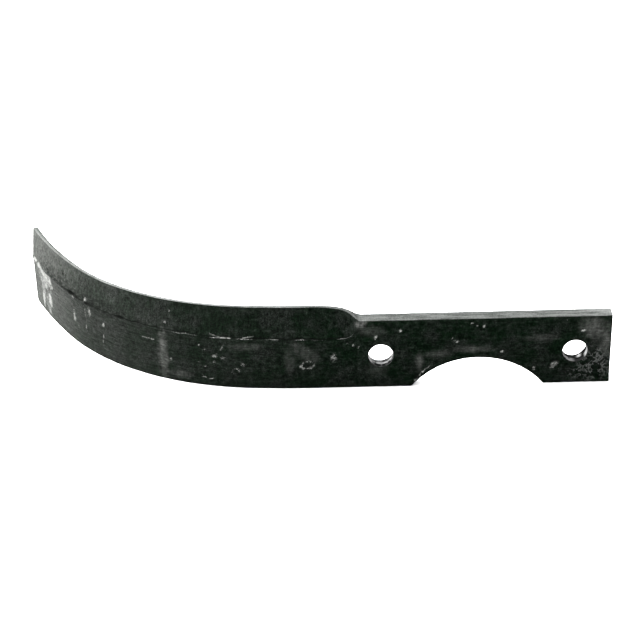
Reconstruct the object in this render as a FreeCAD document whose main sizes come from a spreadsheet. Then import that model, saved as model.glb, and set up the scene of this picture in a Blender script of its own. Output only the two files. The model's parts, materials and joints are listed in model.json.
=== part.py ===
# Rotary tiller blade, forged from one length of flat steel bar.
# Frame: origin midway between the two bolt holes, on the face that bears on the rotor flange.
# +X runs along the shank towards its cut end, the blade lies towards -X, and +Z is up.
# The bearing face is the plane Y = 0. The bar's thickness and the bend both go to +Y.

import FreeCAD, Part
import math
import os
import Sketcher
from FreeCAD import Vector

doc = FreeCAD.newDocument("tiller_blade")

# Driving dimensions in millimetres
SIZES = [
    ("bar_width", 32.0, "flat bar, across"),
    ("bar_thickness", 6.3, "flat bar, through"),
    ("bar_corner", 0.5, "broken corner along the bar's and the forged edge's long edges"),
    ("hole_pitch", 81.1, "between the two bolt holes"),
    ("hole_diameter", 10.4, "clearance hole for a 10 mm bolt"),
    ("hole_height", 15.2, "hole centre above the lower edge"),
    ("end_distance", 14.9, "hole centre to the cut end"),
    ("notch_radius", 35.6, "notch that clears the rotor tube"),
    ("notch_depth", 13.1, "top of the notch above the lower edge"),
    ("shoulder_distance", 7.9, "inner hole to the start of the forged shoulder"),
    ("shoulder_length", 17.9, "start of the shoulder to the full blade"),
    ("root_height", 36.6, "blade height behind the shoulder"),
    ("middle_height", 35.5, "blade height past the middle of the bend"),
    ("tip_height", 31.0, "blade height at the forging's end, just past the tip"),
    ("root_crease", 23.4, "crease height behind the shoulder"),
    ("middle_crease", 23.8, "crease height past the middle of the bend"),
    ("tip_crease", 21.4, "crease height there"),
    ("crease_step", 0.5, "depth of the step under the crease's lip"),
    ("crease_rise", 0.8, "height of that step"),
    ("root_edge", 1.7, "forged edge's thickness behind the shoulder"),
    ("middle_edge", 1.5, "forged edge's thickness past the middle of the bend"),
    ("tip_edge", 2.4, "forged edge's thickness there"),
    ("lead_radius", 330.0, "first, gentle arc of the bend"),
    ("lead_length", 30.0, "its length along the blade"),
    ("main_radius", 109.4, "main arc of the bend"),
    ("main_length", 96.0, "its length along the blade"),
    ("tip_radius", 224.0, "last arc of the bend"),
    ("tip_length", 42.0, "its length up to the square end"),
    ("square_height", 21.0, "height of the square end, below the slant"),
    ("tip_slant", 41.0, "degrees from level: the cut above it, out to the upper corner"),
    ("tip_corner", 1.5, "rounded lower corner of the end"),
]

# Each size that changes over the shoulder swings from the bar's value to the blade's:
# where it is half way, as a share of the shoulder's length, and how sharply it swings
SHOULDER_STEPS = 8
HEIGHT_HALF, HEIGHT_SHARPNESS = 0.33, 2.0
DEPTH_HALF, DEPTH_SHARPNESS = 0.21, 2.5
CREASE_HALF, CREASE_SHARPNESS = 0.17, 2.5

# The middle section's place, as a share of the main arc from its far end
MIDDLE_SHARE = 0.35

sheet = doc.addObject("Spreadsheet::Sheet", "sizes")
for row, (alias, value, meaning) in enumerate(SIZES, start=1):
    sheet.set(f"A{row}", meaning)
    sheet.set(f"B{row}", str(value))
    sheet.setAlias(f"B{row}", alias)
doc.recompute()

body = doc.addObject("PartDesign::Body", "blade_body")
body.Label = "tiller_blade"
body.setExpression("Placement.Base.z", "-sizes.hole_height")


def sketch_on(name, role):
    """A sketch on one of the body's own three planes."""
    planes = {item.Role: item for item in body.Origin.OriginFeatures}
    sketch = body.newObject("Sketcher::SketchObject", name)
    sketch.AttachmentSupport = [(planes[role], "")]
    sketch.MapMode = "FlatFace"
    return sketch


def bind(sketch, name, kind, where, expression):
    """A named dimension that follows the sheet."""
    start = float(sketch.evalExpression(expression))
    index = sketch.addConstraint(Sketcher.Constraint(kind, *where, start))
    sketch.renameConstraint(index, name)
    sketch.setExpression(f"Constraints.{name}", expression)


def bind_angle(sketch, name, arc, start, expression):
    """The same for the angle that an arc spans; start is in radians."""
    index = sketch.addConstraint(Sketcher.Constraint("Angle", arc, start))
    sketch.renameConstraint(index, name)
    sketch.setExpression(f"Constraints.{name}", expression)


def hold_point(sketch, name, geometry, vertex, across, up):
    """Holds a point at its two distances from the sketch's origin."""
    bind(sketch, f"{name}_across", "DistanceX", (-1, 1, geometry, vertex), across)
    bind(sketch, f"{name}_up", "DistanceY", (-1, 1, geometry, vertex), up)


def outline(sketch, corners, quarter_arcs=(), radius=None):
    """A closed outline whose corners are each held by the sheet.

    A corner named in quarter_arcs starts an arc to the next one, anticlockwise and of the
    given radius. Every other stretch is straight.
    """
    count = len(corners)
    points = [
        Vector(float(sketch.evalExpression(across)), float(sketch.evalExpression(up)), 0)
        for name, across, up in corners
    ]
    for i, (name, across, up) in enumerate(corners):
        start, end = points[i], points[(i + 1) % count]
        if name in quarter_arcs:
            chord = end - start
            centre = start + (chord + Vector(-chord.y, chord.x, 0)) * 0.5
            first = math.atan2(start.y - centre.y, start.x - centre.x)
            rim = Part.Circle(centre, Vector(0, 0, 1), (start - centre).Length)
            sketch.addGeometry(Part.ArcOfCircle(rim, first, first + math.pi / 2), False)
        else:
            sketch.addGeometry(Part.LineSegment(start, end), False)
    for i in range(count):
        sketch.addConstraint(Sketcher.Constraint("Coincident", i, 2, (i + 1) % count, 1))
    for i, (name, across, up) in enumerate(corners):
        hold_point(sketch, name, i, 1, across, up)
        if name in quarter_arcs:
            bind(sketch, f"{name}_radius", "Radius", (i,), radius)


def circle(sketch, name, across, up, radius):
    centre = Vector(float(sketch.evalExpression(across)), float(sketch.evalExpression(up)), 0)
    rim = Part.Circle(centre, Vector(0, 0, 1), float(sketch.evalExpression(radius)))
    index = sketch.addGeometry(rim, False)
    hold_point(sketch, name, index, 3, across, up)
    bind(sketch, f"{name}_radius", "Radius", (index,), radius)


def edges_where(feature, test):
    """Names of a feature's edges whose two ends and middle all pass a test."""
    names = []
    for number, edge in enumerate(feature.Shape.Edges, start=1):
        first, last = edge.FirstParameter, edge.LastParameter
        points = [edge.valueAt(first + (last - first) * share) for share in (0.0, 0.5, 1.0)]
        if all(test(point) for point in points):
            names.append(f"Edge{number}")
    return names


# Shank: the bar from the shoulder to the cut end
SHOULDER_START = "-(sizes.hole_pitch / 2 + sizes.shoulder_distance)"
CUT_END = "sizes.hole_pitch / 2 + sizes.end_distance"
shank_outline = sketch_on("shank_outline", "XZ_Plane")
outline(shank_outline, [
    ("lower_start", SHOULDER_START, "0"),
    ("lower_end", CUT_END, "0"),
    ("upper_end", CUT_END, "sizes.bar_width"),
    ("upper_start", SHOULDER_START, "sizes.bar_width"),
])
doc.recompute()
shank = body.newObject("PartDesign::Pad", "shank")
shank.Profile = shank_outline
shank.setExpression("Length", "sizes.bar_thickness")
shank.Reversed = True
doc.recompute()

NEAR = 0.01
back = sheet.bar_thickness


def on_long_edge(point):
    level = min(abs(point.z), abs(point.z - sheet.bar_width))
    return level < NEAR and min(point.y, back - point.y) < NEAR


broken_corners = body.newObject("PartDesign::Chamfer", "broken_corners")
broken_corners.Base = (shank, edges_where(shank, on_long_edge))
broken_corners.setExpression("Size", "sizes.bar_corner")
doc.recompute()

# Path of the blade along its lower front edge: a straight shoulder, then three tangent arcs
shoulder_start = -(sheet.hole_pitch / 2 + sheet.shoulder_distance)
bend_start = shoulder_start - sheet.shoulder_length
path = sketch_on("blade_path", "XY_Plane")
line = path.addGeometry(Part.LineSegment(Vector(bend_start, 0, 0), Vector(shoulder_start, 0, 0)), False)
hold_point(path, "shoulder_start", line, 2, SHOULDER_START, "0")
path.addConstraint(Sketcher.Constraint("Horizontal", line))
bind(path, "shoulder_length", "DistanceX", (line, 1, line, 2), "sizes.shoulder_length")
end, heading, before = Vector(bend_start, 0, 0), 0.0, line
TRIMMED = "1.5 * (sizes.tip_height - sizes.square_height) / tan(sizes.tip_slant * 1 deg)"
ARCS = [
    ("lead", "sizes.lead_length"),
    ("main", "sizes.main_length"),
    ("tip", f"(sizes.tip_length + {TRIMMED})"),
]
for name, length in ARCS:
    radius = path.evalExpression(f"sizes.{name}_radius")
    turn = float(path.evalExpression(length)) / radius
    centre = end + Vector(radius * math.sin(heading), radius * math.cos(heading), 0)
    first = -math.pi / 2 - heading - turn
    rim = Part.Circle(centre, Vector(0, 0, 1), radius)
    arc = path.addGeometry(Part.ArcOfCircle(rim, first, first + turn), False)
    path.addConstraint(Sketcher.Constraint("Tangent", arc, 2, before, 1))
    bind(path, f"{name}_radius", "Radius", (arc,), f"sizes.{name}_radius")
    bind_angle(path, f"{name}_turn", arc, turn, f"{length} / sizes.{name}_radius * 1 rad")
    heading += turn
    end = centre - Vector(radius * math.sin(heading), radius * math.cos(heading), 0)
    before = arc
doc.recompute()

# The path's pieces, numbered from the tip
TIP_ARC, MAIN_ARC, LEAD_ARC, SHOULDER_LINE = "Edge1", "Edge2", "Edge3", "Edge4"


def blade_section(name, piece, share, height, crease, step, depth):
    """The blade's section at a share of one piece of the path, from that piece's end at the tip.

    The front face is at 0 across and the back face at the bar's thickness. Above the crease
    the front is forged back: a small step, then a taper to the thin edge.
    """
    section = body.newObject("Sketcher::SketchObject", name)
    section.AttachmentSupport = [(path, piece)]
    section.MapMode = "NormalToEdge"
    section.MapReversed = True
    section.MapPathParameter = share
    outline(section, [
        ("lower_front", "sizes.bar_corner", "0"),
        ("lower_back", "sizes.bar_thickness - sizes.bar_corner", "0"),
        ("back_rise", "sizes.bar_thickness", "sizes.bar_corner"),
        ("back_corner", "sizes.bar_thickness", f"{height} - sizes.bar_corner"),
        ("upper_back", "sizes.bar_thickness - sizes.bar_corner", height),
        ("upper_front", f"{depth} + sizes.bar_corner", height),
        ("front_corner", depth, f"{height} - sizes.bar_corner"),
        ("step_root", step, f"{crease} + sizes.crease_rise"),
        ("step_lip", "0", crease),
        ("front_rise", "0", "sizes.bar_corner"),
    ])
    return section


def swing(share, half, sharpness):
    """0 at the bar, 1 at the full blade, and steepest near the half-way share."""
    scale = half ** sharpness
    return (1 + scale) * share ** sharpness / (share ** sharpness + scale)


shoulder_sections = []
for number in range(SHOULDER_STEPS):
    share = number / SHOULDER_STEPS
    risen = swing(share, HEIGHT_HALF, HEIGHT_SHARPNESS)
    sunk = swing(share, DEPTH_HALF, DEPTH_SHARPNESS)
    undropped = 1 - swing(share, CREASE_HALF, CREASE_SHARPNESS)
    shoulder_sections.append(blade_section(
        f"shoulder_section_{number}", SHOULDER_LINE, 1 - share,
        f"sizes.bar_width + {risen:.5f} * (sizes.root_height - sizes.bar_width)",
        f"sizes.root_crease + {undropped:.5f} * (sizes.bar_width - 2 * sizes.crease_rise - sizes.root_crease)",
        f"{sunk:.5f} * sizes.crease_step",
        f"{sunk:.5f} * (sizes.bar_thickness - sizes.root_edge)",
    ))


def full_section(name, piece, share):
    return blade_section(
        f"{name}_section", piece, share,
        f"sizes.{name}_height",
        f"sizes.{name}_crease",
        "sizes.crease_step",
        f"sizes.bar_thickness - sizes.{name}_edge",
    )


root_section = full_section("root", SHOULDER_LINE, 0)
middle_section = full_section("middle", MAIN_ARC, MIDDLE_SHARE)
tip_section = full_section("tip", TIP_ARC, 0)
doc.recompute()

# Forged shoulder, where the bar's upper part is spread thin and upwards
shoulder = body.newObject("PartDesign::AdditiveLoft", "shoulder")
shoulder.Profile = shoulder_sections[0]
shoulder.Sections = [(section, [""]) for section in shoulder_sections[1:] + [root_section]]
doc.recompute()

# Forged blade along the bend
blade = body.newObject("PartDesign::AdditivePipe", "blade")
blade.Profile = root_section
blade.Spine = (path, [TIP_ARC, MAIN_ARC, LEAD_ARC])
blade.Transformation = "Multisection"
blade.Sections = [(middle_section, [""]), (tip_section, [""])]
doc.recompute()

# Tip: a square end below, and above it a slant to the corner that the forging pushed out
tip_outline = body.newObject("Sketcher::SketchObject", "tip_outline")
tip_outline.AttachmentSupport = [(path, TIP_ARC)]
tip_outline.MapMode = "FrenetTB"
tip_outline.setExpression("MapPathParameter", f"{TRIMMED} / (sizes.tip_length + {TRIMMED})")
CLEAR = "sizes.bar_thickness"
outline(tip_outline, [
    ("corner_rise", "0", "sizes.tip_corner"),
    ("corner_run", "sizes.tip_corner", "0"),
    ("below_end", "sizes.tip_corner", f"-{CLEAR}"),
    ("far_below", f"-2 * {TRIMMED}", f"-{CLEAR}"),
    ("slant_end", f"-2 * {TRIMMED}", f"sizes.square_height + 2 * {TRIMMED} * tan(sizes.tip_slant * 1 deg)"),
    ("slant_start", "0", "sizes.square_height"),
], ("corner_rise",), "sizes.tip_corner")
doc.recompute()
tip_cut = body.newObject("PartDesign::Pocket", "tip_cut")
tip_cut.Profile = tip_outline
tip_cut.Midplane = True
tip_cut.setExpression("Length", "4 * sizes.bar_thickness")
doc.recompute()

# Notch that lets the shank straddle the rotor's tube
notch_outline = sketch_on("notch_outline", "XZ_Plane")
circle(notch_outline, "tube", "0", "sizes.notch_depth - sizes.notch_radius", "sizes.notch_radius")
doc.recompute()
notch = body.newObject("PartDesign::Pocket", "notch")
notch.Profile = notch_outline
notch.Type = "ThroughAll"
doc.recompute()

# Two punched bolt holes
hole_outline = sketch_on("hole_outline", "XZ_Plane")
HOLES = [("inner", "-sizes.hole_pitch / 2"), ("outer", "sizes.hole_pitch / 2")]
for name, across in HOLES:
    circle(hole_outline, name, across, "sizes.hole_height", "sizes.hole_diameter / 2")
doc.recompute()
holes = body.newObject("PartDesign::Pocket", "holes")
holes.Profile = hole_outline
holes.Type = "ThroughAll"
doc.recompute()

for item in doc.Objects:
    bad = [word for word in ("Invalid", "Error") if word in item.State]
    if bad:
        raise RuntimeError(f"{item.Name} is {bad[0]}")
shape = body.Shape
if shape.isNull() or not shape.isValid():
    raise RuntimeError(f"{body.Label} has no valid shape")
if len(shape.Solids) != 1:
    raise RuntimeError(f"{body.Label} has {len(shape.Solids)} solids")

os.makedirs("parts", exist_ok=True)
shape.exportStep(f"parts/{body.Label}.step")
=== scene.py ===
"""A forged rotary tiller blade in dark scale, standing on its lower edge on a plain pale floor."""

import json
import math

import bpy
import numpy as np
from mathutils import Matrix, Vector


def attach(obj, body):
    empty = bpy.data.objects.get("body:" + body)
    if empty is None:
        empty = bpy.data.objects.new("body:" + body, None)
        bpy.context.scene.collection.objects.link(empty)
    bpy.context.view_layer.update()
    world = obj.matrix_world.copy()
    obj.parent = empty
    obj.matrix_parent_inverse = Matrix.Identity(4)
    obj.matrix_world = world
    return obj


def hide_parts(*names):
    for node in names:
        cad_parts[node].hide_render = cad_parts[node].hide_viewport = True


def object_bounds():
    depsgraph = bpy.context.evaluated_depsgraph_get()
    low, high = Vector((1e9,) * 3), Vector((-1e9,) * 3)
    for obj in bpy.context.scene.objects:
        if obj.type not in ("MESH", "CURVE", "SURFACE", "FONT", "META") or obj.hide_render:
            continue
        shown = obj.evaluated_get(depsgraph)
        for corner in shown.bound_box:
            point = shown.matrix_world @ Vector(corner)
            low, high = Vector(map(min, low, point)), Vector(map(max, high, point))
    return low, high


MM = 0.001

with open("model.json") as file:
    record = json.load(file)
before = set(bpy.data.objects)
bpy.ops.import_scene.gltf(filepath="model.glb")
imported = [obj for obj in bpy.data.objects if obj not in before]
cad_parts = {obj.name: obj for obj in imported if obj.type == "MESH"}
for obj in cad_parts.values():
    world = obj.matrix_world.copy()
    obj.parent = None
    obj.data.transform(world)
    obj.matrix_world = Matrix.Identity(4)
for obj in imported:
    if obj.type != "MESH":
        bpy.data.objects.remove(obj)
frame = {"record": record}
cad_box = [list(corner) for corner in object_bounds()]

# The blade's sizes in millimetres: the holes from the record, their height and the shank's end
# from the solid's box, the rest as in the solid. On the blade, t is the distance along it from
# the start of the bend, positive towards the tip, and up is the height above its lower edge.
bolt_holes = next(mount for mount in frame["record"]["mounts"] if mount["name"] == "bolt_holes")
HOLE_X, HOLE_RADIUS = bolt_holes["dims"]["spacing_x_mm"] / 2, bolt_holes["dims"]["hole_r_mm"]
HOLE_HEIGHT, CUT_END_X = round(-cad_box[0][2] / MM, 3), round(cad_box[1][0] / MM, 3)
WIDTH, THICKNESS = 32.0, 6.3
NOTCH_RADIUS, NOTCH_DEPTH = 35.6, 13.1
BEND_X, SHOULDER = -66.35, 17.9
HEIGHTS, CREASES, EDGES = (36.6, 35.5, 31.0), (23.4, 23.8, 21.4), (1.7, 1.5, 2.4)
STEP, RISE = 0.5, 0.8
MIDDLE_AT, LAST_AT = 92.4, 185.26
ARCS = ((330.0, 30.0), (109.4, 96.0), (224.0, 60.0))
END_AT, SQUARE, SLANT, END_CORNER = 168.0, 21.0, math.radians(41.0), 1.5
FIRST_AT = BEND_X - CUT_END_X

# Holes, torn by the punch from a depth on: x, what the tear adds to the radius there, the burr
# left standing, and the seed of the ragged wall
TEAR_START = 3.9
HOLES = (
    (-HOLE_X, 0.45, 0.1, 71),
    (HOLE_X, 0.2, 0.25, 75),
)

# Mouths of the holes and the notch, worn round: depth, and what it adds to the radius.
# Cutters stand out of the blade on both sides. The notch's is fine over the angles that cut.
HOLE_MOUTH = ((0.0, 0.15), (0.15, 0.07), (0.4, 0.0))
NOTCH_MOUTH = ((0.0, 0.3), (0.2, 0.1), (0.5, 0.0))
NOTCH_FAR_GAIN = 0.05
CUTTER_OUT = 2.0
NOTCH_ANGLES = (38, 142)

# Rounding of the edges, at the thin ones a share of the thickness, and how far the tip is
# drawn in, growing over a stretch of t
ROUND_LONG, ROUND_END, THIN_ROUND = 0.3, 0.3, 0.12
TIP_INSET, INSET_OVER = 0.12, (155, 165)

# The net's spacing, closer near the edges and the crease. Across, both are shares of the
# thickness. Past SLANT_FROM the net leans to follow the slanted end.
ALONG_STEP = 0.6
ACROSS_STEP, ACROSS_ROUND = 0.125, 0.09
NEAR_EDGE = np.array([0.0, 0.12, 0.34, 0.64, 1.0])
UNDER_CREASE = np.array([1.2, 0.8, 0.5, 0.3, 0.15])
OVER_CREASE = np.array([0.12, 0.3, 0.5, 0.8, 1.1, 1.5, 2.0])
LOW_ROWS, HIGH_ROWS = 36, 20
SLANT_FROM, SETTLING_ROUNDS = 135.0, 4

# Where the forging marks set in, where the shank's end was hammered (t, up and radius), and
# the angle from which an edge is shaded sharp
FORGED_OVER = (-18, 0)
HAMMERED = (-115.0, 8.5, 9.0)
SHARP_ANGLE = math.radians(48)


def noise(x, y, seed):
    """Smooth noise from 0 to 1 with a feature size of 1."""
    table = np.random.RandomState(seed).rand(256, 256)
    xi, yi = np.floor(x).astype(int), np.floor(y).astype(int)
    fx, fy = x - xi, y - yi
    fx, fy = fx * fx * (3 - 2 * fx), fy * fy * (3 - 2 * fy)
    x0, x1, y0, y1 = xi % 256, (xi + 1) % 256, yi % 256, (yi + 1) % 256
    low = table[x0, y0] * (1 - fx) + table[x1, y0] * fx
    high = table[x0, y1] * (1 - fx) + table[x1, y1] * fx
    return low * (1 - fy) + high * fy


def layered(x, y, seed, octaves=3):
    """Noise with finer and weaker noise on it."""
    total, weight, size = 0.0, 0.0, 1.0
    for octave in range(octaves):
        total = total + noise(x / size, y / size, seed + octave) * size
        weight += size
        size *= 0.5
    return total / weight


def ramp(value, low, high):
    """0 below low, 1 above high, smooth between."""
    share = np.clip((value - low) / (high - low), 0, 1)
    return share * share * (3 - 2 * share)


def window(value, low, high, soft=0.25):
    """1 between low and high, 0 outside."""
    return ramp(value, low - soft, low + soft) * (1 - ramp(value, high - soft, high + soft))


def through(t, values):
    """The parabola through the root's, the middle's and the last section's values."""
    root, middle, last = values
    first = (middle - root) / MIDDLE_AT
    second = (last - middle) / (LAST_AT - MIDDLE_AT)
    return root + first * t + (second - first) / LAST_AT * t * (t - MIDDLE_AT)


def swing(share, half, sharpness):
    """Swings from 0 to 1 as the share does, and is about midway at its half value."""
    scale = half ** sharpness
    return (1 + scale) * share ** sharpness / (share ** sharpness + scale)


def section(t):
    """Height, crease height, step depth and front depth at the top edge, at t along the blade."""
    bend = np.clip(t, 0, None)
    share = np.clip((t + SHOULDER) / SHOULDER, 0, 1)
    risen, sunk = swing(share, 0.33, 2.0), swing(share, 0.21, 2.5)
    undropped = 1 - swing(share, 0.17, 2.5)
    height = np.where(t > 0, through(bend, HEIGHTS), WIDTH + risen * (HEIGHTS[0] - WIDTH))
    start = WIDTH - 2 * RISE
    crease = np.where(t > 0, through(bend, CREASES), CREASES[0] + undropped * (start - CREASES[0]))
    depth = np.where(t > 0, THICKNESS - through(bend, EDGES), sunk * (THICKNESS - EDGES[0]))
    return height, crease, STEP * sunk, depth


def front_depth(t, up):
    """How far the front face is forged back at a height."""
    height, crease, step, depth = section(t)
    rise = np.clip((up - crease) / RISE, 0, 1)
    above = np.clip((up - crease - RISE) / np.maximum(height - crease - RISE, 1e-6), 0, None)
    return step * rise + (depth - step) * above


def path(t):
    """x, y and heading of the lower front edge."""
    x, y, heading = BEND_X - t, np.zeros_like(t), np.zeros_like(t)
    px, py, turned, done = BEND_X, 0.0, 0.0, 0.0
    for radius, length in ARCS:
        cx, cy = px + radius * math.sin(turned), py + radius * math.cos(turned)
        here = turned + (t - done) / radius
        inside = t > done
        x = np.where(inside, cx - radius * np.sin(here), x)
        y = np.where(inside, cy - radius * np.cos(here), y)
        heading = np.where(inside, here, heading)
        turned += length / radius
        px, py = cx - radius * math.sin(turned), cy - radius * math.cos(turned)
        done += length
    return x, y, heading


def unroll(x, y):
    """t and distance across for points in plan."""
    t, across = BEND_X - x, y.copy()
    px, py, turned, done = BEND_X, 0.0, 0.0, 0.0
    for radius, length in ARCS:
        cx, cy = px + radius * math.sin(turned), py + radius * math.cos(turned)
        here = np.arctan2(cx - x, cy - y)
        inside = (x < BEND_X) & (here >= turned)
        t = np.where(inside, done + (here - turned) * radius, t)
        across = np.where(inside, radius - np.hypot(x - cx, y - cy), across)
        turned += length / radius
        px, py = cx - radius * math.sin(turned), cy - radius * math.cos(turned)
        done += length
    return t, across


def end_at(up):
    """Where the blade ends at a height: round lower corner, square end, slant."""
    low = np.clip(END_CORNER - up, 0, END_CORNER)
    rounding = END_CORNER - np.sqrt(END_CORNER ** 2 - low ** 2)
    slant = np.clip(up - SQUARE, 0, None) / math.tan(SLANT)
    return END_AT - rounding + slant


# Hollows in the front face: t, up, half length, half height, depth
DENTS = (
    (-98.6, 9.0, 2.5, 2.1, 0.28),
    (-113.0, 12.5, 2.6, 1.6, 0.22),
    (-116.8, 7.0, 1.8, 2.6, 0.26),
    (-111.5, 4.6, 2.4, 1.3, 0.20),
    (-119.3, 13.5, 1.4, 1.8, 0.2),
    (-115.0, 17.0, 1.5, 1.1, 0.15),
    (5.0, 11.2, 2.7, 2.3, 0.12),
    (35.3, 7.7, 1.5, 1.3, 0.1),
    (-17.8, 30.4, 2.2, 1.8, 0.24),
    (-14.0, 20.0, 2.0, 1.1, 0.2),
    (-41.5, 6.0, 1.8, 3.6, 0.22),
    (123.2, 23.5, 2.0, 0.8, 0.35),
    (89.2, 24.0, 2.2, 0.8, 0.35),
    (134.7, 27.8, 1.4, 0.9, 0.25),
)


def crease_break(t):
    """Where the lap along the crease is torn open, from 0 to 1."""
    return ramp(noise(t / 2.6, t * 0, 31), 0.45, 0.75) * ramp(noise(t / 9.0, t * 0, 32), 0.25, 0.6)


def gap_above(t, up, crease):
    """Height above the crease, which the forging left a little wavy."""
    return up - crease - 0.45 * (noise(t / 4.0, t * 0, 33) - 0.5)


def front_relief(t, up):
    """Depth of hollows in the front face, in millimetres."""
    crease = section(t)[1]
    forged = ramp(t, *FORGED_OVER)
    relief = 0.16 * layered(t / 15, up / 11, 1) + 0.07 * layered(t / 3.4, up / 3.0, 5)
    relief = relief + 0.10 * ramp(noise(t / 1.9, up / 1.7, 9), 0.74, 0.95)
    gap = gap_above(t, up, crease)
    lip = forged * np.exp(-((gap + 0.35) / 0.45) ** 2)
    crack = forged * np.exp(-((gap - 0.4) / 0.35) ** 2) * (0.35 + 0.65 * crease_break(t))
    relief = relief * (1 - 0.8 * lip) + 0.32 * crack
    middle, level, radius = HAMMERED
    away = np.hypot((t - middle) / radius, (up - level) / radius)
    hammered = 1 - ramp(away, 0.6, 1.1)
    relief = relief + 0.9 * hammered * np.abs(layered(t / 2.6, up / 2.3, 51) - 0.5)
    for t0, up0, rt, ru, deep in DENTS:
        away = np.hypot((t - t0) / rt, (up - up0) / ru)
        relief = relief + deep * (1 - ramp(away, 0.55, 1.1))
    return relief


def rows(length, step, rounding):
    """Places from 0 to length, closer together where the edges are rounded."""
    near = rounding * NEAR_EDGE
    count = max(2, round((length - 2 * rounding) / step))
    middle = np.linspace(rounding, length - rounding, count + 1)[1:-1]
    return np.concatenate([near, middle, length - near[::-1]])


def row_heights(t):
    """Heights of the net's rows at t, from the lower edge to the top.

    Each row is a fixed part plus shares of the crease's height, of the blade's height and of
    the room above the crease.
    """
    height, crease = section(t)[:2]
    room = np.clip((height - ROUND_LONG - crease) / 3, 0, 1)
    edge = ROUND_LONG * NEAR_EDGE
    low, high = np.linspace(0, 1, LOW_ROWS), np.linspace(0, 1, HIGH_ROWS)[1:]
    laws = [(rise, 0, 0, 0) for rise in edge[:-1]]
    laws += [(ROUND_LONG * (1 - s) - UNDER_CREASE[0] * s, s, 0, 0) for s in low]
    laws += [(-below, 1, 0, 0) for below in UNDER_CREASE[1:]] + [(0, 1, 0, 0)]
    laws += [(0, 1, 0, above) for above in OVER_CREASE]
    laws += [(-ROUND_LONG * s, 1 - s, s, OVER_CREASE[-1] * (1 - s)) for s in high]
    laws += [(-fall, 0, 1, 0) for fall in edge[::-1][1:]]
    fixed, of_crease, of_height, of_room = np.array(laws).T
    return fixed + of_crease * crease + of_height * height + of_room * room


def lattice():
    """The whole blade, before its holes and notch, as one closed net of squares."""
    stations = (FIRST_AT + rows(END_AT - FIRST_AT, ALONG_STEP, ROUND_END))[:, None]
    stretch = np.clip((stations - SLANT_FROM) / (END_AT - SLANT_FROM), 0, 1)
    up = row_heights(stations)
    for _ in range(SETTLING_ROUNDS):
        t = stations + (end_at(up) - END_AT) * stretch
        up = row_heights(t)
    across = rows(1.0, ACROSS_STEP, ACROSS_ROUND)
    shell = np.zeros((len(stations), up.shape[1], len(across)), bool)
    shell[[0, -1]] = True
    shell[:, [0, -1]] = True
    shell[:, :, [0, -1]] = True
    index = np.full(shell.shape, -1)
    index[shell] = np.arange(shell.sum())
    i, j, k = np.nonzero(shell)
    return t[i, j], up[i, j], across[k], index


def place(t, up, share):
    """Positions in metres for lattice points, with rounded edges and relief."""
    height = section(t)[0]
    front = front_depth(t, up)
    thick = THICKNESS - front
    across = share * thick
    ends = (t - FIRST_AT, end_at(up) - t)
    sides = (across, thick - across)
    levels = (up, height - up)
    thin = np.minimum(ROUND_LONG, THIN_ROUND * thick)
    sizes = (np.minimum(ROUND_END, thin), thin, np.where(levels[0] < levels[1], ROUND_LONG, thin))
    pairs = (ends, sides, levels)
    pulls = [np.clip(1 - np.minimum(*pair) / size, 0, 1) for pair, size in zip(pairs, sizes)]
    length = np.maximum(np.sqrt(sum(p * p for p in pulls)), 1.0)
    shift = [size * (pull - pull / length) for size, pull in zip(sizes, pulls)]
    along = np.where(ends[0] < ends[1], t + shift[0], t - shift[0])
    along = along - TIP_INSET * ramp(t, *INSET_OVER)
    across = np.where(sides[0] < sides[1], across + shift[1], across - shift[1])
    level = np.where(levels[0] < levels[1], up + shift[2], up - shift[2])

    inner = (0.3 + 0.7 * ramp(levels[1], 0.3, 2.5)) * (0.2 + 0.8 * ramp(ends[1], 0.3, 3.0))
    back_relief = 0.16 * layered(t / 17 + 40, up / 12, 11) + 0.07 * layered(t / 3.2 + 40, up / 3.1, 15)
    across = across + inner * (front_relief(t, up) * (1 - share) - back_relief * share)
    lift = up / height
    low_relief = 0.06 * layered(t / 9 + 80, share * 4, 21) + 0.04 * noise(t / 1.6, share * 5, 25)
    top_relief = 0.05 * layered(t / 8 + 120, share * 4, 41) + 0.03 * noise(t / 1.5, share * 5, 45)
    level = level + low_relief * (1 - lift) - top_relief * lift

    x, y, heading = path(along)
    offset = front + across
    return np.stack([(x + offset * np.sin(heading)) * MM,
                     (y + offset * np.cos(heading)) * MM,
                     (level - HOLE_HEIGHT) * MM], 1)


def net_faces(index):
    """Squares of the six sides, all facing outwards."""
    faces = []
    for axis in range(3):
        for last in (False, True):
            side = np.take(index, -1 if last else 0, axis)
            corners = [side[:-1, :-1], side[1:, :-1], side[1:, 1:], side[:-1, 1:]]
            quads = np.stack(corners, -1).reshape(-1, 4)
            if last == (axis == 1):
                quads = quads[:, ::-1]
            faces.append(quads)
    return np.concatenate(faces)


def make_mesh(name, points, faces):
    mesh = bpy.data.meshes.new(name)
    mesh.from_pydata([tuple(p) for p in points], [], [tuple(int(v) for v in f) for f in faces])
    mesh.validate()
    return mesh


def turned_cutter(x, z, profile, angles, relief):
    """A closed body round an axis along Y, from its (y, radius) profile."""
    count = len(angles)
    points, faces = [], []
    for y, radius in profile:
        r = radius + relief(angles, y)
        points.append(np.stack([x + r * np.cos(angles), np.full(count, y), z + r * np.sin(angles)], 1))
    for ring in range(len(profile) - 1):
        for i in range(count):
            a, b = ring * count + i, ring * count + (i + 1) % count
            faces.append((a, a + count, b + count, b))
    faces.append(tuple(range(count)))
    faces.append(tuple(range(count * len(profile) - 1, count * (len(profile) - 1) - 1, -1)))
    return np.concatenate(points) * MM, faces


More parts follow.
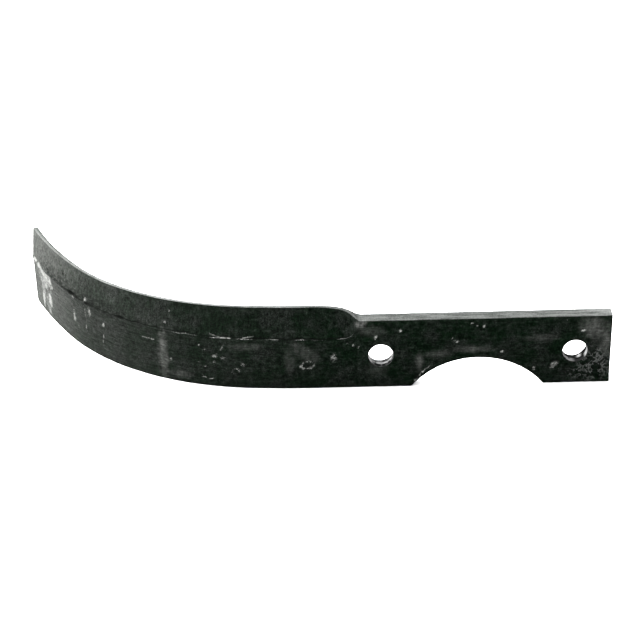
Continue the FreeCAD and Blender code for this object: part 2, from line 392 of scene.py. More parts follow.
def hole_relief(seed, burr):
    """A punched wall: rings, a ragged far part, and a burr left standing at its lower right."""
    def relief(angles, y):
        inside = ramp(y, 0.3, 0.6)
        rings = 0.05 * np.sin(y * 9.0 + seed)
        torn = ramp(y, TEAR_START - 0.4, TEAR_START + 0.4)
        ragged = layered(np.cos(angles) * 3 + 9, np.sin(angles) * 3 + y / 1.3, seed) - 0.5
        standing = burr * np.exp(-((angles - math.radians(320)) / 0.5) ** 2)
        return inside * rings + torn * (0.35 * ragged - standing)
    return relief


def notch_relief(angles, y):
    """A sheared wall: grooves, then a ragged break."""
    torn = ramp(y, 2.0, 2.7)
    length = angles * NOTCH_RADIUS
    grooves = 0.05 * noise(length / 0.9, np.full_like(length, y / 6), 61)
    ragged = 0.28 * (layered(length / 2.6, np.full_like(length, y / 1.4), 63) - 0.3)
    return (1 - torn) * grooves + torn * ragged


def hole_cutter(x, gain, burr, seed):
    profile = [(-CUTTER_OUT, HOLE_MOUTH[0][1]), *HOLE_MOUTH]
    profile += [(y, 0.0) for y in np.arange(0.8, TEAR_START, 0.3)]
    torn = THICKNESS - TEAR_START
    profile += [(TEAR_START + s * torn, gain * s ** 0.8) for s in (0.02, 0.2, 0.45, 0.7, 1.0)]
    profile += [(THICKNESS + CUTTER_OUT, gain)]
    profile = [(y, HOLE_RADIUS + extra) for y, extra in profile]
    angles = np.linspace(0, 2 * math.pi, 96, endpoint=False)
    return turned_cutter(x, 0.0, profile, angles, hole_relief(seed, burr))


def notch_cutter():
    start, end = NOTCH_ANGLES
    angles = np.radians(np.concatenate([np.arange(start, end, 0.8), np.arange(end, start + 360, 8.0)]))
    profile = [(-CUTTER_OUT, NOTCH_MOUTH[0][1]), *NOTCH_MOUTH]
    profile += [(y, 0.0) for y in np.arange(1.0, THICKNESS, 0.45)]
    profile += [(THICKNESS, NOTCH_FAR_GAIN), (THICKNESS + CUTTER_OUT, NOTCH_FAR_GAIN)]
    profile = [(y, NOTCH_RADIUS + extra) for y, extra in profile]
    centre = NOTCH_DEPTH - NOTCH_RADIUS - HOLE_HEIGHT
    return turned_cutter(0.0, centre, profile, angles, notch_relief)


def cut(body, parts, materials):
    """Takes the cutters out of the body, each leaving its own material."""
    for number, ((points, faces), material) in enumerate(zip(parts, materials)):
        mesh = make_mesh(f"cutter_{number}", points, faces)
        mesh.materials.append(material)
        cutter = bpy.data.objects.new(f"cutter_{number}", mesh)
        bpy.context.scene.collection.objects.link(cutter)
        modifier = body.modifiers.new("cut", "BOOLEAN")
        modifier.operation = "DIFFERENCE"
        modifier.solver = "EXACT"
        modifier.material_mode = "TRANSFER"
        modifier.object = cutter
        evaluated = body.evaluated_get(bpy.context.evaluated_depsgraph_get())
        result = bpy.data.meshes.new_from_object(evaluated)
        body.modifiers.clear()
        body.data = result
        bpy.data.objects.remove(cutter)


# Marks in the photograph, placed one by one. Patches, rings, hazes, dark and pitted places: t, up,
# half length, half height, turn, strength. Scratches: t and up at both ends, half width,
# strength. Glints on the crease: t from and to, strength.
BARE_PATCHES = (
    (152.5, 17.5, 7.5, 5.0, -12, 0.55),
    (155.5, 12.5, 3.5, 7.0, 0, 0.45),
    (150.5, 7.0, 6.0, 6.0, 0, 0.28),
    (147.3, 9.4, 2.1, 3.6, 0, 1.1),
    (156.6, 6.0, 1.6, 4.2, 0, 1.0),
    (149.2, 3.2, 1.5, 1.5, 0, 0.8),
    (121.8, 12.6, 1.0, 2.3, 0, 0.75),
    (121.7, 22.6, 0.9, 0.6, 0, 0.7),
    (112.5, 24.8, 1.3, 0.8, 0, 0.85),
    (109.3, 20.3, 1.0, 2.5, 0, 0.6),
    (100.0, 17.0, 0.8, 1.1, 0, 0.75),
    (66.5, 27.0, 0.6, 0.6, 0, 0.6),
    (65.2, 31.8, 0.5, 0.5, 0, 0.6),
    (64.0, 10.5, 0.7, 0.6, 0, 0.6),
    (50.8, 19.4, 0.5, 0.5, 0, 0.38),
    (48.4, 17.6, 0.6, 0.4, 0, 0.4),
    (51.2, 11.2, 0.8, 0.4, 0, 0.34),
    (48.2, 9.5, 1.0, 0.5, 0, 0.35),
    (44.5, 12.0, 0.7, 0.7, 0, 0.35),
    (44.4, 14.8, 1.6, 0.9, 0, 0.42),
    (40.6, 14.2, 1.4, 0.8, 0, 0.34),
    (32.0, 11.2, 1.3, 0.8, 0, 0.45),
    (-6.0, 15.0, 1.6, 2.4, 0, 0.28),
    (-12.0, 21.0, 0.45, 0.4, 0, 0.55),
    (-14.2, 20.2, 0.55, 0.45, 0, 0.65),
    (-16.2, 19.5, 0.45, 0.4, 0, 0.5),
    (-23.8, 24.0, 0.7, 0.7, 0, 0.65),
    (-34.0, 27.0, 0.7, 0.6, 0, 0.8),
    (-63.5, 29.6, 0.7, 0.5, 0, 0.55),
    (-66.0, 28.7, 0.6, 0.5, 0, 0.6),
    (-68.5, 27.9, 0.8, 0.5, 0, 0.7),
    (-76.3, 16.2, 0.6, 0.5, 0, 0.8),
    (-90.0, 7.4, 0.8, 0.8, 0, 0.5),
    (-98.4, 8.9, 2.5, 1.4, -32, 0.45),
    (-110.0, 25.2, 0.8, 0.5, 0, 0.9),
)
# Scratches, and painted highlight lines along rolled edges
SCRATCHES_AND_HIGHLIGHTS = (
    (167.0, 22.3, 160.5, 21.9, 0.8, 0.9),
    (160.5, 21.5, 152.0, 20.4, 1.6, 0.95),
    (152.0, 20.2, 146.0, 20.0, 2.3, 1.0),
    (146.5, 20.8, 144.4, 17.5, 1.2, 1.1),
    (113.2, 23.8, 112.0, 15.0, 0.35, 0.5),
    (112.0, 15.0, 112.7, 8.5, 0.3, 0.45),
    (124.0, 20.0, 119.0, 9.0, 0.3, 0.4),
    (100.5, 11.5, 101.2, 6.3, 0.4, 0.45),
    (77.7, 18.2, 71.7, 18.5, 0.3, 0.5),
    (45.7, 25.2, 42.2, 24.0, 0.35, 0.5),
    (42.2, 24.0, 37.2, 24.0, 0.3, 0.55),
    (32.5, 23.8, 27.0, 25.0, 0.3, 0.6),
    (40.2, 20.5, 41.2, 18.0, 0.35, 0.28),
    (41.2, 18.0, 44.0, 15.4, 0.5, 0.36),
    (50.2, 4.5, 40.7, 2.5, 0.3, 0.4),
    (-39.3, 1.5, -43.5, 7.2, 0.4, 0.65),
    (-43.5, 7.2, -46.3, 9.8, 0.3, 0.45),
    (-55.3, 22.5, -58.5, 20.5, 0.3, 0.5),
    # Painted highlight along the rolled top of the notch
    (-60.5, 15.8, -73.0, 15.3, 0.25, 0.4),
    # Painted highlight along the rolled lower edge
    (-94.8, 1.7, -121.3, 1.7, 0.25, 0.34),
)
RINGS = (
    (5.0, 11.3, 2.7, 1.8, 0, 0.4),
    (35.4, 8.0, 1.6, 1.3, 0, 0.36),
)
# Painted highlight: a thin bright line along the crease's lip, where its step catches the light
PAINTED_GLINTS = (
    (52.0, 63.0, 0.28),
    (40.0, 45.5, 0.8),
    (28.0, 34.0, 0.6),
    (17.0, 22.0, 0.55),
    (6.0, 9.5, 0.7),
    (0.0, 3.0, 0.5),
    (-14.5, -8.0, 0.5),
)
HAZES = (
    (67.6, 12.0, 3.2, 15.0, 0, 0.62),
    (60.0, 4.0, 7.0, 2.5, 0, 0.35),
    (12.5, 14.0, 2.6, 8.0, 0, 0.24),
    (7.0, 18.0, 8.0, 4.0, 35, 0.3),
    (31.0, 20.0, 9.0, 2.5, 0, 0.25),
    (-17.8, 30.4, 2.8, 2.2, -30, 0.9),
    (-24.0, 9.0, 5.0, 4.0, 0, 0.2),
    (-22.0, 27.0, 6.0, 3.0, 0, 0.25),
    (-42.0, 12.0, 2.0, 4.5, 0, 0.5),
    (-50.0, 15.5, 7.0, 2.0, 0, 0.35),
    (-64.0, 17.2, 9.0, 1.6, 0, 0.4),
    (-92.0, 22.0, 8.0, 2.0, 0, 0.25),
    (-114.5, 26.0, 6.5, 5.5, 25, 0.55),
    (-119.5, 20.0, 3.0, 10.0, 0, 0.5),
    (150.0, 12.0, 9.0, 9.0, 0, 0.8),
)
DARK_PATCHES = (
    (123.6, 23.5, 4.4, 0.55, 0, 1.0),
    (134.4, 27.8, 1.4, 0.8, 0, 0.8),
    (111.0, 23.4, 1.4, 0.6, 0, 0.9),
    (89.0, 24.0, 3.0, 0.6, 0, 0.9),
    (52.2, 19.9, 0.9, 0.7, 0, 0.9),
    (49.6, 18.4, 0.9, 0.7, 0, 0.9),
    (47.4, 19.2, 0.8, 0.7, 0, 0.8),
    (5.0, 11.3, 1.7, 1.1, 0, 0.6),
    (-30.0, 29.2, 0.7, 0.6, 0, 0.8),
    (-41.0, 4.0, 1.2, 2.6, 0, 0.8),
    (-65.0, 29.2, 1.2, 0.6, 0, 0.8),
    (-99.0, 10.9, 2.2, 0.5, -32, 0.9),
    (-96.6, 8.2, 0.5, 1.3, -32, 0.8),
)
# Pitted places on the hammered end, where the ridges get painted highlights and painted shade
PITTED = (
    (-115.0, 8.5, 7.5, 8.5, 0, 1.0),
    (-108.5, 4.5, 4.5, 3.0, 0, 0.8),
)

# Along the blade: how rubbed the top strip is, with its painted highlight, how hazy the face, with
# painted light growing towards the tip, and how dim bare metal is, as painted shade, for the light
# falls stronger on the tip: t, then the values there
# Top strip: rubbed metal, and a painted highlight where the top face catches the light
STRIP_WEAR_AND_HIGHLIGHT = ((-121, -105, -18, 0, 23, 45, 62, 94, 110, 124, 160),
         (0.46, 0.32, 0.3, 0.42, 0.6, 0.68, 0.6, 0.62, 0.46, 0.36, 0.32))
# Lighter towards the tip: haze, and painted light over the bend where it turns to the light
TIP_HAZE_AND_LIGHT = ((-10, 10, 60, 95, 115, 132, 158, 180), (0, 0.02, 0.05, 0.15, 0.18, 0.36, 0.54, 0.63))
# Painted shade on bare metal, darker towards the tip to even out the stronger light there
PAINTED_DIMMING = ((0, 60, 120, 145, 160), (0.8, 0.65, 0.42, 0.5, 0.48))

# Marks lie on the front face only, and fade out over these depths. Rubbing takes the last part
# of an edge, and more of it at the back. Walls count as a hole's up to this far from its rim.
FRONT_FADE = (0.6, 1.0)
RUBBED_RIM, RUBBED_BEHIND, END_RUBBED = 0.3, 0.4, 0.6
HOLE_MARGIN, NOTCH_WALL_LIGHT = 1.5, 0.4


def patch_distance(t, up, mark):
    """Distance from a mark's middle, 1 at its rim, which is ragged."""
    t0, up0, rt, ru, turn = mark
    c, s = math.cos(math.radians(turn)), math.sin(math.radians(turn))
    a, b = (t - t0) * c + (up - up0) * s, -(t - t0) * s + (up - up0) * c
    return np.hypot(a / rt, b / ru) + 0.3 * min(rt, 2.5) * (layered(t / 1.7, up / 1.3, 91) - 0.5)


def stroke(t, up, line):
    """1 along a short scratch, broken up along its length."""
    t0, up0, t1, up1, width = line
    dt, du = t1 - t0, up1 - up0
    share = np.clip(((t - t0) * dt + (up - up0) * du) / (dt * dt + du * du), 0, 1)
    away = np.hypot(t - t0 - share * dt, up - up0 - share * du) / width
    away = away + 0.8 * (layered(t / 1.2, up / 1.0, 93) - 0.5)
    broken = ramp(noise(up / 0.9, t / 2.0, 95), 0.2, 0.55)
    return (1 - ramp(away, 0.4, 1.3)) * (0.35 + 0.65 * broken)


def strongest(t, up, rows_of_marks, shape):
    value = np.zeros_like(t)
    for *mark, strength in rows_of_marks:
        value = np.maximum(value, strength * shape(t, up, mark))
    return value


def patch(t, up, mark):
    return 1 - ramp(patch_distance(t, up, mark), 0.3, 1.4)


def cloud(t, up, mark):
    """A patch that fades out gently, in streaks up and down."""
    streaks = 0.2 + 1.4 * layered(t / 0.9, up / 3.0, 57)
    return (1 - ramp(patch_distance(t, up, mark), 0.1, 1.3)) * streaks


def ring(t, up, mark):
    broken = 0.5 + 0.5 * ramp(noise(t / 1.6, up / 1.6, 97), 0.3, 0.6)
    return np.exp(-((patch_distance(t, up, mark) - 1) / 0.15) ** 2) * broken


def inner_wall_painted_light(angle, depth):
    """Painted light in the inner hole's wall: light rings, and its bright left side."""
    rough = ramp(noise(angle * 6 + 40, depth / 0.8, 83), 0.62, 0.8)
    rings = 0.75 * window(depth, 2.2, 3.5) + 0.4 * window(depth, 4.1, 5.0, 0.15)
    rings = rings + 0.25 * window(depth, -0.3, 0.3, 0.1) + 0.3 * window(depth, 0.6, 2.1) * rough
    left = 0.85 * ramp(-np.cos(angle), 0.55, 0.8) * window(depth, 0.6, 5.6)
    return np.maximum(rings * broken_painted_light(angle, depth), left)


def outer_wall_painted_light(angle, depth):
    """Painted light and shade in the outer hole's wall: a bright spot low in it, a grey left side and
    a crescent at the right.
    """
    spot = np.exp(-((angle + 1.1) / 0.17) ** 2) * window(depth, 3.3, 5.0)
    left = window(depth, 0.7, 3.2) * ramp(-np.cos(angle - 0.5), 0.35, 0.8)
    wall = 0.6 * left * broken_painted_light(angle, depth) + spot + 0.03 * window(depth, -0.3, 2.0)
    return np.maximum(wall, 0.9 * window(depth, 0.8, 3.4) * ramp(np.cos(angle + 0.1), 0.8, 0.95))


# Breaks up the painted light on the hole walls
def broken_painted_light(angle, depth):
    return 0.4 + 0.6 * ramp(noise(angle * 5 + 20, depth / 1.2, 81), 0.25, 0.5)


def painted_wall_light(x, up, depth):
    """Painted light and shade on the cut walls: how bright they are drawn."""
    light = np.full_like(x, NOTCH_WALL_LIGHT)
    for centre, wall in ((-HOLE_X, inner_wall_painted_light), (HOLE_X, outer_wall_painted_light)):
        near = np.hypot(x - centre, up - HOLE_HEIGHT) < HOLE_RADIUS + HOLE_MARGIN
        angle = np.arctan2(up - HOLE_HEIGHT, x - centre)
        light = np.where(near, wall(angle, depth), light)
    return light


def rubbed(t, up, behind_front):
    """How rubbed the top strip is, with a painted highlight on it, and the end of the tip."""
    from_edge = RUBBED_RIM + RUBBED_BEHIND * ramp(behind_front, 0.5, 1.2)
    strip = np.interp(t, *STRIP_WEAR_AND_HIGHLIGHT) * ramp(up - (section(t)[0] - from_edge), 0, 0.2)
    return np.maximum(strip, END_RUBBED * ramp(t - end_at(up) + RUBBED_RIM, 0, 0.2))


def surface_values(points):
    """Values for each vertex that the materials read, from its place on the blade."""
    x, y, up = points[:, 0] / MM, points[:, 1] / MM, points[:, 2] / MM + HOLE_HEIGHT
    t, across = unroll(x, y)
    crease = section(t)[1]
    behind_front = across - front_depth(t, up)
    front = 1 - ramp(behind_front, *FRONT_FADE)
    kinds = ((BARE_PATCHES, patch), (SCRATCHES_AND_HIGHLIGHTS, stroke), (RINGS, ring))
    # Wear, and painted highlight lines along rolled edges
    wear_and_highlight = np.maximum.reduce([strongest(t, up, table, shape) for table, shape in kinds])
    # Painted highlight along the crease's lip, broken up along its length
    lip = sum(strength * window(t, start, end, 0.8) for start, end, strength in PAINTED_GLINTS)
    lip = lip * (0.3 + 0.7 * ramp(layered(t / 2.6, t * 0, 34), 0.35, 0.6))
    # Painted shade in the groove just above the crease, darker where the lap is torn open into cracks
    groove_shade_and_crack = ramp(t, -16, -8) * (0.7 + 0.3 * crease_break(t)) * (1 - ramp(t, 130, 150))
    by_crease = np.exp(-((up - crease - 0.6) / 2.6) ** 2)
    mottled = ramp(t, 78, 100) * (1 - ramp(t, 150, 160)) * by_crease
    # Hazes are dusty smudges; the rise towards the tip is partly painted light over the bend
    haze_and_painted_light = np.maximum(strongest(t, up, HAZES, cloud), np.interp(t, *TIP_HAZE_AND_LIGHT))
    return {
        "wear_and_highlight": wear_and_highlight * front,
        "dark": strongest(t, up, DARK_PATCHES, patch) * front,
        "haze_and_painted_light": haze_and_painted_light * front,
        "edge": rubbed(t, up, behind_front),
        "dim": np.interp(t, *PAINTED_DIMMING),
        "pitted": strongest(t, up, PITTED, patch) * front,
        "mottled": mottled * front,
        "lip": lip * front,
        "groove_shade_and_crack": groove_shade_and_crack * front,
        "gap": gap_above(t, up, crease),
        # Painted light and shade on the cut walls
        "wall": painted_wall_light(x, up, across),
        "flat": np.stack([t, up, across], 1),
    }


# Colours of the scale, of what lies on it and of bare metal, and of the painted highlights and painted
# shade
# Next line: near-black, and the painted shade deep in the cut walls
NEARLY_BLACK, PAINTED_WALL_SHADE = (0.0015, 0.0018, 0.0015, 1), (0.0015, 0.0018, 0.0016, 1)
GREEN_SCALE, GREY_SCALE = (0.0022, 0.0060, 0.0028, 1), (0.0088, 0.0110, 0.0092, 1)
# Next line: the haze's grey, which is dust and also painted light towards the tip; light specks; dark
# mottles
DUST_AND_PAINTED_LIGHT, SPECK, MOTTLE = (0.062, 0.063, 0.060), (0.055, 0.058, 0.055, 1), (0.004, 0.0044, 0.004, 1)
# Next line: a painted highlight on ridges, a painted glint on the crease's lip, and the rubbed top
# edge with its painted highlight
PAINTED_RIDGE_HIGHLIGHT, PAINTED_GLINT, RUBBED_AND_HIGHLIGHT = (0.085, 0.088, 0.085, 1), (0.26, 0.265, 0.255, 1), (0.20, 0.205, 0.20, 1)
BARE_DARK, BARE_LIGHT = (0.17, 0.175, 0.165, 1), (0.36, 0.365, 0.35, 1)
SPECULAR_LEVEL, SPECULAR_TINT = 0.003, (0.85, 1.0, 0.86, 1)
FACE_BUMP, WALL_BUMP = (0.7, 0.00025), (0.4, 0.00015)


def add(tree, kind, inputs=(), **settings):
    node = tree.nodes.new(kind)
    for name, value in settings.items():
        setattr(node, name, value)
    for socket, value in inputs:
        if isinstance(value, bpy.types.NodeSocket):
            tree.links.new(value, node.inputs[socket])
        else:
            node.inputs[socket].default_value = value
    return node


def new_material(name):
    material = bpy.data.materials.new(name)
    material.use_nodes = True
    tree = material.node_tree
    return material, tree, tree.nodes["Principled BSDF"]


def attribute(tree, name, output="Fac"):
    return add(tree, "ShaderNodeAttribute", attribute_name=name).outputs[output]


def combine(tree, first, second, operation="ADD"):
    return add(tree, "ShaderNodeMath", ((0, first), (1, second)), operation=operation).outputs[0]


def times(tree, first, second):
    return combine(tree, first, second, "MULTIPLY")


def scaled(tree, colour, by):
    inputs = ((0, colour), (3, by))
    return add(tree, "ShaderNodeVectorMath", inputs, operation="SCALE").outputs[0]


def step_between(tree, value, low, high, to_low=0.0, to_high=1.0):
    inputs = ((0, value), (1, low), (2, high), (3, to_low), (4, to_high))
    return add(tree, "ShaderNodeMapRange", inputs, clamp=True).outputs[0]


def mixed(tree, factor, first, second):
    node = add(tree, "ShaderNodeMix", ((0, factor), (6, first), (7, second)), data_type="RGBA")
    return node.outputs[2]


def grain(tree, where, scale, detail=4.0, roughness=0.6):
    inputs = (("Vector", where), ("Scale", scale), ("Detail", detail), ("Roughness", roughness))
    return add(tree, "ShaderNodeTexNoise", inputs).outputs["Fac"]


def stretched(tree, where, scale):
    return add(tree, "ShaderNodeMapping", (("Vector", where), ("Scale", scale))).outputs[0]


def jittered(tree, where, by, amount):
    """The place moved about by a value, so that shapes drawn there get ragged."""
    inputs = ((0, where), (1, times(tree, by, amount)))
    return add(tree, "ShaderNodeVectorMath", inputs, operation="ADD").outputs[0]


def hump(tree, value, middle, half):
    """1 where the value is at the middle, 0 beyond its half width."""
    away = combine(tree, combine(tree, value, middle, "SUBTRACT"), 0.0, "ABSOLUTE")
    return step_between(tree, away, 0.0, half, 1.0, 0.0)


def line_at(tree, gap, low, high, soft):
    """1 where the gap above the crease is between low and high."""
    rising = step_between(tree, gap, low - soft, low + soft)
    falling = step_between(tree, gap, high - soft, high + soft, 1.0, 0.0)
    return times(tree, rising, falling)


def bumped(tree, shader, height, bump):
    strength, distance = bump
    inputs = (("Height", height), ("Strength", strength), ("Distance", distance))
    normal = add(tree, "ShaderNodeBump", inputs).outputs[0]
    tree.links.new(normal, shader.inputs["Normal"])


def scale_colour(tree, flat, at, grains):
    """Green and neutral clouds, lighter and darker by the grain, with dusty grey smudges, painted
    light growing towards the tip, and light specks.
    """
    fine, medium, coarse, rolled = grains
    broad = grain(tree, flat, 0.09, 4.0, 0.6)
    drawn = grain(tree, stretched(tree, flat, (1.4, 0.15, 1.0)), 1.0, 3.0)
    above = step_between(tree, at["gap"], -0.2, 0.4)
    streaks = combine(tree, times(tree, drawn, above),
                      times(tree, rolled, combine(tree, 1.0, above, "SUBTRACT")))
    texture = combine(tree, times(tree, fine, 0.58), times(tree, medium, 0.24))
    texture = combine(tree, texture, times(tree, streaks, 0.18))

    clouds = step_between(tree, combine(tree, broad, times(tree, medium, 0.6)), 0.70, 0.95)
    strength = step_between(tree, texture, 0.38, 0.64, 0.0, 1.0)
    strength = times(tree, combine(tree, strength, 1.6, "POWER"), 1.8)
    colour = scaled(tree, mixed(tree, clouds, GREEN_SCALE, GREY_SCALE), strength)

    # Dusty haze, with painted light growing towards the tip
    haze_and_painted_light = times(tree, at["haze_and_painted_light"], step_between(tree, texture, 0.40, 0.60, 0.6, 1.0))
    dust_and_light = combine(tree, coarse, times(tree, streaks, 0.6))
    dust_and_light = scaled(tree, DUST_AND_PAINTED_LIGHT, step_between(tree, dust_and_light, 0.56, 1.04, 0.35, 1.6))
    colour = mixed(tree, haze_and_painted_light, colour, dust_and_light)

    where = jittered(tree, flat, fine, 0.8)
    cells = add(tree, "ShaderNodeTexVoronoi", (("Vector", where), ("Scale", 0.42)))
    chosen = step_between(tree, cells.outputs["Color"], 0.78, 0.86)
    dot = times(tree, step_between(tree, cells.outputs["Distance"], 0.05, 0.14, 0.8, 0.0), chosen)
    return mixed(tree, dot, colour, SPECK)


def with_ridges(tree, colour, folds, pitted):
    """Ridges and hollows, as painted highlight lines with painted shade beside them."""
    rising = step_between(tree, folds, 0.505, 0.525)
    ridge_highlight = times(tree, rising, step_between(tree, folds, 0.525, 0.60, 1.0, 0.0))
    ridge_highlight = times(tree, ridge_highlight, pitted)
    hollow_shade = times(tree, hump(tree, folds, 0.47, 0.045), pitted)
    colour = mixed(tree, hollow_shade, colour, NEARLY_BLACK)
    return mixed(tree, times(tree, ridge_highlight, 0.6), colour, PAINTED_RIDGE_HIGHLIGHT)


def with_bare_metal(tree, colour, at, fine, medium):
    """Bare metal where the scale is rubbed off, and painted highlight lines along rolled edges, broken
    up by the grain and dimmed towards the tip as painted shade.
    """
    broken = combine(tree, combine(tree, fine, medium), -1.0)
    amount = combine(tree, at["wear_and_highlight"], times(tree, broken, 1.3))
    amount = step_between(tree, amount, 0.15, 0.9)
    amount = times(tree, amount, step_between(tree, at["wear_and_highlight"], 0.02, 0.25))
    bare = mixed(tree, step_between(tree, fine, 0.35, 0.65), BARE_DARK, BARE_LIGHT)
    return mixed(tree, amount, colour, scaled(tree, bare, at["dim"]))


def with_rubbed_and_highlit_edges(tree, colour, edge, rolled, fine):
    """Rubbed edges and the top strip's painted highlight, streaked along their length."""
    streaks = step_between(tree, combine(tree, rolled, fine), 0.78, 1.16, 0.3, 1.1)
    return mixed(tree, times(tree, edge, streaks), colour, RUBBED_AND_HIGHLIGHT)


def with_crease(tree, colour, at, grains):
    """The crease: painted shade as a dark line in the groove above a thin lip, darker where torn, a
    painted highlight along the lip, and mottles beside it.
    """
    fine, medium, coarse, rolled = grains
    specks = times(tree, step_between(tree, coarse, 0.44, 0.58, 1.0, 0.0), at["mottled"])
    colour = mixed(tree, times(tree, specks, 0.85), colour, MOTTLE)
    wavy = combine(tree, at["gap"], times(tree, combine(tree, medium, -0.5), 1.1))
    # Painted shade in the groove just above the crease
    dark_groove_line = times(tree, line_at(tree, wavy, 0.1, 0.55, 0.12), at["groove_shade_and_crack"])
    colour = mixed(tree, dark_groove_line, colour, NEARLY_BLACK)
    # Painted highlight along the crease's lip
    bright = times(tree, line_at(tree, wavy, -0.2, 0.06, 0.08), at["lip"])
    bright = times(tree, bright, step_between(tree, fine, 0.40, 0.60))
    return mixed(tree, bright, colour, PAINTED_GLINT)


def forged_steel():
    """Near-black scale with a green cast, thinning to bare grey where it is rubbed off, with painted
    highlights and painted shade laid over it.
    """
    material, tree, shader = new_material("forged_steel")
    flat = attribute(tree, "flat", "Vector")
    names = ("wear_and_highlight", "dark", "haze_and_painted_light", "edge", "dim", "pitted", "mottled", "lip", "groove_shade_and_crack", "gap")
    at = {name: attribute(tree, name) for name in names}
    fine = grain(tree, flat, 2.2, 3.0, 0.75)
    medium = grain(tree, flat, 0.5, 4.0, 0.65)
    coarse = grain(tree, stretched(tree, flat, (0.5, 1.1, 1.0)), 1.0, 5.0, 0.75)
    rolled = grain(tree, stretched(tree, flat, (0.12, 1.3, 1.0)), 1.0, 3.0)
    folds = grain(tree, flat, 0.34, 3.0, 0.6)
    grains = (fine, medium, coarse, rolled)

    colour = scale_colour(tree, flat, at, grains)
    colour = with_ridges(tree, colour, folds, at["pitted"])
    colour = with_bare_metal(tree, colour, at, fine, medium)
    colour = with_rubbed_and_highlit_edges(tree, colour, at["edge"], rolled, fine)
    colour = with_crease(tree, colour, at, grains)
    colour = mixed(tree, at["dark"], colour, NEARLY_BLACK)
    tree.links.new(colour, shader.inputs["Base Color"])

    rough = step_between(tree, combine(tree, fine, medium), 0.75, 1.25, 0.32, 0.62)
    rough = combine(tree, rough, times(tree, at["dark"], 0.3))
    tree.links.new(rough, shader.inputs["Roughness"])
    shader.inputs["Specular IOR Level"].default_value = SPECULAR_LEVEL
    shader.inputs["Specular Tint"].default_value = SPECULAR_TINT
    height = combine(tree, times(tree, fine, 0.5), medium)
    height = combine(tree, height, times(tree, times(tree, folds, at["pitted"]), 3.0))
    bumped(tree, shader, height, FACE_BUMP)
    return material


def cut_steel(name, bright, streak):
    """Bare steel of a punched or sheared wall, streaked through the thickness, drawn from painted
    shade to lit steel by the wall's painted light.
    """
    material, tree, shader = new_material(name)
    flat = attribute(tree, "flat", "Vector")
    wall = attribute(tree, "wall")
    lines = grain(tree, stretched(tree, flat, streak), 1.0, 3.0, 0.7)
    blotch = grain(tree, flat, 0.42, 3.0)
    light = step_between(tree, combine(tree, lines, blotch), 0.8, 1.2, 0.55, 1.0)
    light = times(tree, light, wall)
    # Painted shade where the wall's painted light is low, bare steel where it is high
    colour = mixed(tree, light, PAINTED_WALL_SHADE, (bright, bright, bright, 1))
    tree.links.new(colour, shader.inputs["Base Color"])
    tree.links.new(step_between(tree, blotch, 0.3, 0.7, 0.35, 0.55), shader.inputs["Roughness"])
    shader.inputs["Specular IOR Level"].default_value = SPECULAR_LEVEL
    bumped(tree, shader, lines, WALL_BUMP)
    return material


def set_values(mesh):
    """Gives each vertex the values that the materials read."""
    points = np.empty(len(mesh.vertices) * 3)
    mesh.vertices.foreach_get("co", points)
    for name, values in surface_values(points.reshape(-1, 3)).items():
        if values.ndim == 2:
            layer = mesh.attributes.new(name, "FLOAT_VECTOR", "POINT")
            layer.data.foreach_set("vector", values.ravel())
        else:
            mesh.attributes.new(name, "FLOAT", "POINT").data.foreach_set("value", values)


steel = forged_steel()
bore = cut_steel("punched_bore", 0.3, (0.5, 0.5, 1.8))
shear = cut_steel("sheared_notch", 0.12, (1.5, 1.5, 0.16))

t, up, share, index = lattice()
mesh = make_mesh("forged_blade", place(t, up, share), net_faces(index))
mesh.materials.append(steel)
blade = bpy.data.objects.new("forged_blade", mesh)
bpy.context.scene.collection.objects.link(blade)
cutters = [hole_cutter(*hole) for hole in HOLES] + [notch_cutter()]
cut(blade, cutters, (bore, bore, shear))
blade.data.name = "forged_blade"
set_values(blade.data)
blade.data.shade_smooth()
blade.data.set_sharp_from_angle(angle=SHARP_ANGLE)

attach(blade, "root")
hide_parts("tiller_blade")


def plain(name, colour, roughness):
    material, _, shader = new_material(name)
    shader.inputs["Base Color"].default_value = colour
    shader.inputs["Roughness"].default_value = roughness
    shader.inputs["Specular IOR Level"].default_value = 0.1
    return material


# The floor and the light, in metres
FLOOR_LEVEL, FLOOR_HALF = -HOLE_HEIGHT * MM, 4
floor_signs = ((-1, -1), (1, -1), (1, 1), (-1, 1))
floor_corners = [(x * FLOOR_HALF, y * FLOOR_HALF, FLOOR_LEVEL) for x, y in floor_signs]
floor_mesh = make_mesh("floor", floor_corners, [(0, 1, 2, 3)])
floor_mesh.materials.append(plain("pale_floor", (0.86, 0.86, 0.86, 1), 0.9))
floor = bpy.data.objects.new("floor", floor_mesh)
bpy.context.scene.collection.objects.link(floor)


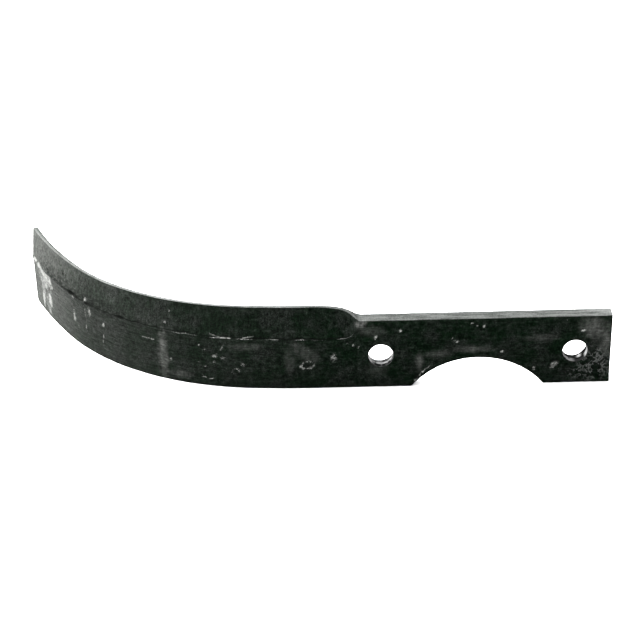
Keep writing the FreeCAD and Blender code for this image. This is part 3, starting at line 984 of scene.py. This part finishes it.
# Softboxes: name, place, target, size, radiance
SOFTBOXES = (
    ("back_softbox", (-0.1, 1.7, 1.0), (-0.07, 0, 0), (2.6, 1.0), 8.0),
    ("left_softbox", (-1.3, 0.6, 0.9), (-1.0, 0.5, -0.015), (1.5, 1.5), 27.5),
    ("top_softbox", (0.0, -0.3, 1.6), (0, 0, 0), (1.6, 1.2), 2.5),
)
WORLD_STRENGTH = 1.25


def softbox(name, place_at, target, size, radiance):
    light = bpy.data.lights.new(name, "AREA")
    light.shape = "RECTANGLE"
    light.size, light.size_y = size
    light.energy = radiance * math.pi * size[0] * size[1]
    holder = bpy.data.objects.new(name, light)
    bpy.context.scene.collection.objects.link(holder)
    holder.location = place_at
    aim = Vector(target) - Vector(place_at)
    holder.rotation_euler = aim.to_track_quat("-Z", "Y").to_euler()


for row in SOFTBOXES:
    softbox(*row)

world = bpy.data.worlds.new("studio")
world.use_nodes = True
background = world.node_tree.nodes["Background"]
background.inputs["Color"].default_value = (1, 1, 1, 1)
background.inputs["Strength"].default_value = WORLD_STRENGTH
bpy.context.scene.world = world
bpy.context.scene.view_settings.view_transform = "Standard"

# The photograph's viewing angle, fitted to the blade's outline: the distance in metres, the
# focal length and the frame in pixels, the sensor in millimetres
DISTANCE, FOCAL, SENSOR, FRAME = 0.71387, 1730.0, 36.0, 640
ELEVATION, ROLL, YAW = math.radians(29.16), math.radians(-1.4816), math.radians(0.2664)
TARGET = Vector((-0.065577, 0.0, 0.017798))
level_part = math.cos(ELEVATION)
back = Vector((math.sin(YAW) * level_part, -math.cos(YAW) * level_part, math.sin(ELEVATION)))
right = Vector((math.cos(YAW), math.sin(YAW), 0))
over = back.cross(right)
side = right * math.cos(ROLL) + over * math.sin(ROLL)
head = over * math.cos(ROLL) - right * math.sin(ROLL)
camera_data = bpy.data.cameras.new("camera")
camera_data.sensor_width = SENSOR
camera_data.lens = FOCAL / FRAME * SENSOR
camera_data.clip_start, camera_data.clip_end = 0.01, 50
camera = bpy.data.objects.new("camera", camera_data)
bpy.context.scene.collection.objects.link(camera)
eye = TARGET + back * DISTANCE
camera.matrix_world = Matrix((
    (side.x, head.x, back.x, eye.x),
    (side.y, head.y, back.y, eye.y),
    (side.z, head.z, back.z, eye.z),
    (0, 0, 0, 1),
))
bpy.context.scene.camera = camera
